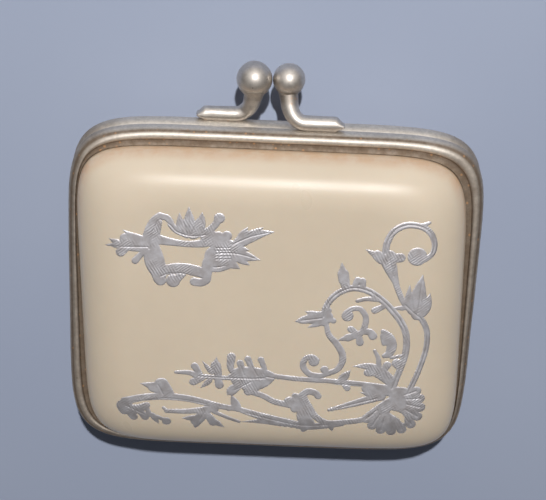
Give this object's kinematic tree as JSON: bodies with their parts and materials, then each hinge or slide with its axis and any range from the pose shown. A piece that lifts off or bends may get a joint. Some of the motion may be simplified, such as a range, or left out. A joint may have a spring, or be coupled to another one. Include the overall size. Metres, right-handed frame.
{
  "type": "powder compact",
  "caption": "Hinged powder compact: cream celluloid covers in a nickel-silver frame, silver scroll inlay, ball kiss-lock clasp, with mirror, powder pan and puff inside.",
  "frame": {"origin": "middle of the back cover's flat face, on which the compact lies", "axes": "+Z out through the closed lid, -Y towards the kiss-lock clasp, +Y towards the hinge, +X towards the base's clasp ball"},
  "size_m": [0.07, 0.0702, 0.0198],
  "materials": {
    "celluloid": "smooth polished ivory-coloured celluloid, slightly yellowed with age",
    "nickel_silver": "rolled nickel silver, dulled and tarnished in the corners",
    "hinge_metal": "dark tarnished nickel silver",
    "interior_nickel": "satin nickel, less worn than the outside",
    "silver_inlay": "thin engraved silver, hatched",
    "mirror_glass": "silvered glass",
    "card": "brown card",
    "face_powder": "pressed face powder, matte",
    "velour": "cotton velour pile",
    "satin_ribbon": "satin ribbon"
  },
  "bodies": {
    "base": {"base_cover": "celluloid", "base_rim": "nickel_silver", "hinge_knuckle_1": "hinge_metal", "hinge_knuckle_3": "hinge_metal", "hinge_knuckle_5": "hinge_metal", "hinge_pin": "hinge_metal", "base_clasp_foot": "nickel_silver", "deck_plate": "interior_nickel", "powder_pan": "interior_nickel", "pressed_powder": "face_powder", "powder_puff": "velour", "puff_ribbon": "satin_ribbon"},
    "base_knob": {"base_clasp_stalk": "nickel_silver", "base_clasp_ball": "nickel_silver"},
    "lid": {"lid_cover": "celluloid", "lid_rim": "nickel_silver", "hinge_knuckle_2": "hinge_metal", "hinge_knuckle_4": "hinge_metal", "lid_clasp_foot": "nickel_silver", "cartouche_inlay": "silver_inlay", "corner_scroll_inlay": "silver_inlay", "mirror_bezel": "interior_nickel", "mirror_glass": "mirror_glass", "mirror_backing": "card"},
    "lid_knob": {"lid_clasp_stalk": "nickel_silver", "lid_clasp_ball": "nickel_silver"}
  },
  "joints": [
    {"name": "lid_hinge", "type": "hinge", "parent": "base", "child": "lid", "pos_m": [0, 0.0289, 0.0098], "axis": [-1, 0, 0], "range_deg": [0, 120]},
    {"name": "base_knob_flex", "type": "hinge", "parent": "base", "child": "base_knob", "pos_m": [0.00673, -0.0306, 0.00777], "axis": [0, 0, 1], "range_deg": [0, 3], "stiffness_Nm_per_rad": 1},
    {"name": "lid_knob_flex", "type": "hinge", "parent": "lid", "child": "lid_knob", "pos_m": [-0.00352, -0.0306, 0.01183], "axis": [0, 0, -1], "range_deg": [0, 3], "stiffness_Nm_per_rad": 1}
  ]
}
